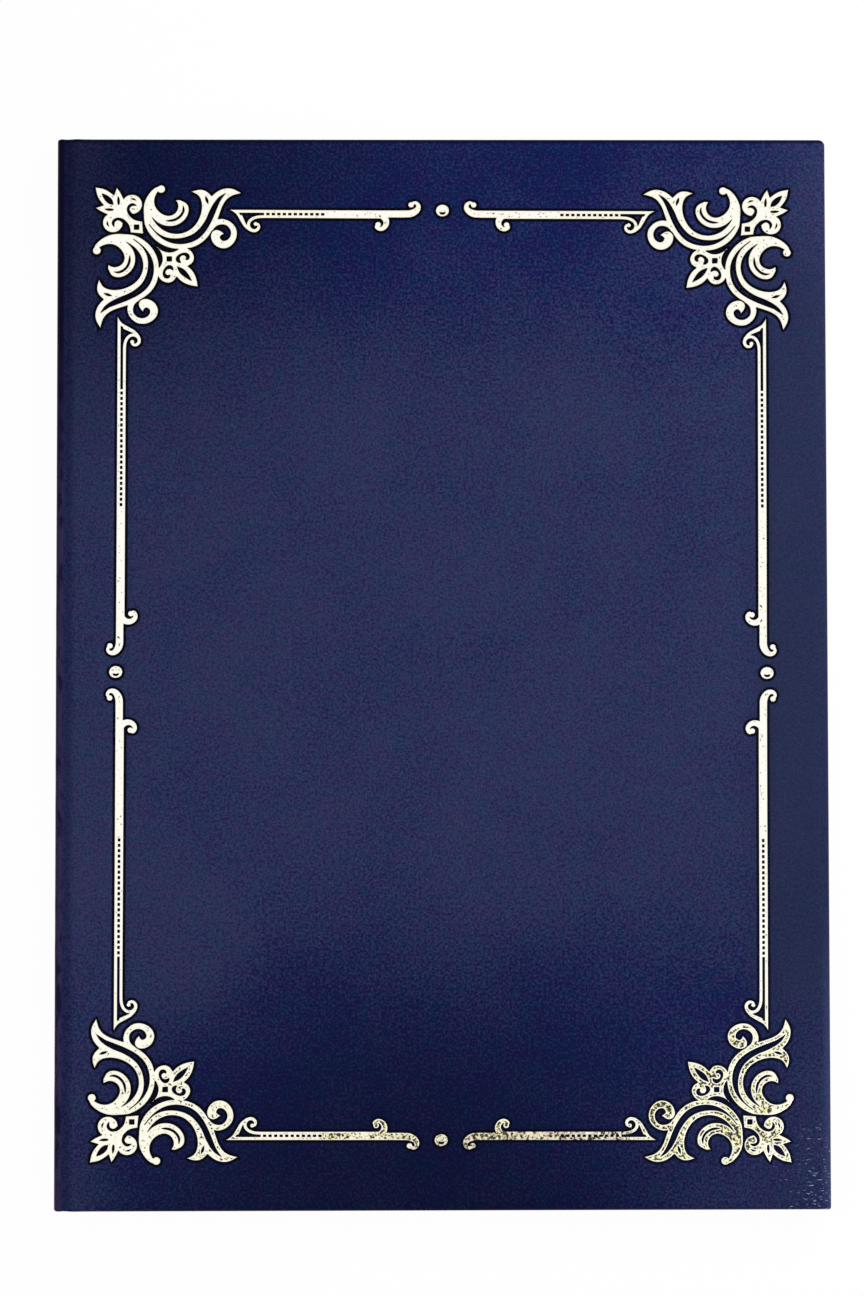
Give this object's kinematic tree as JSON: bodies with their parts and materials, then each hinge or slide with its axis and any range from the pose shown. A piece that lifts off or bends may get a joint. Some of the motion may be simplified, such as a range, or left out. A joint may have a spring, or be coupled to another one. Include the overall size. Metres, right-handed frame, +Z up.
{
  "type": "certificate holder",
  "caption": "Padded leatherette certificate holder that opens like a book, with a gold foil scrollwork border and satin ribbon corners that hold the sheet inside.",
  "frame": {"origin": "middle of the closed holder's footprint, on the outer face of the back cover", "axes": "+X from the spine to the open edge, +Y to the head of the page, +Z up out of the front cover"},
  "size_m": [0.225, 0.312, 0.0094],
  "materials": {
    "leatherette": "fine-grained dark navy leatherette, satin, with a broad soft sheen",
    "gold_foil": "hot-stamped pale gold foil, bright, finely pitted by the grain under it",
    "greyboard": "matte grey bookbinding board",
    "foam": "soft off-white sheet foam",
    "lining": "navy satin lining paper with a faint weave",
    "satin": "woven navy satin ribbon, glossy",
    "clear_film": "clear flexible film, glossy"
  },
  "bodies": {
    "back_cover": {"back_leatherette": "leatherette", "back_board": "greyboard", "back_lining": "lining", "clear_sheet": "clear_film", "ribbon_head_left": "satin", "ribbon_head_right": "satin", "ribbon_foot_left": "satin", "ribbon_foot_right": "satin"},
    "spine": {"spine_leatherette": "leatherette", "spine_stiffener": "greyboard", "spine_liner": "lining", "back_hinge_roll": "leatherette", "front_hinge_roll": "leatherette"},
    "front_cover": {"front_leatherette": "leatherette", "front_pad": "foam", "front_board": "greyboard", "front_lining": "lining", "foil_palmette_head_left": "gold_foil", "foil_scroll_head_left": "gold_foil", "foil_bar_across_head_left": "gold_foil", "foil_bar_down_head_left": "gold_foil", "foil_palmette_head_right": "gold_foil", "foil_scroll_head_right": "gold_foil", "foil_bar_across_head_right": "gold_foil", "foil_bar_down_head_right": "gold_foil", "foil_palmette_foot_left": "gold_foil", "foil_scroll_foot_left": "gold_foil", "foil_bar_across_foot_left": "gold_foil", "foil_bar_down_foot_left": "gold_foil", "foil_palmette_foot_right": "gold_foil", "foil_scroll_foot_right": "gold_foil", "foil_bar_across_foot_right": "gold_foil", "foil_bar_down_foot_right": "gold_foil", "foil_dot_head": "gold_foil", "foil_dot_foot": "gold_foil", "foil_dot_left": "gold_foil", "foil_dot_right": "gold_foil"}
  },
  "joints": [
    {"name": "spine_fold", "type": "hinge", "parent": "back_cover", "child": "spine", "pos_m": [-0.11195, 0, 0.00055], "axis": [0, -1, 0], "range_deg": [0, 90], "deforming": ["back_hinge_roll"]},
    {"name": "cover_fold", "type": "hinge", "parent": "spine", "child": "front_cover", "pos_m": [-0.11195, 0, 0.00875], "axis": [0, -1, 0], "range_deg": [0, 90], "deforming": ["front_hinge_roll"]}
  ]
}
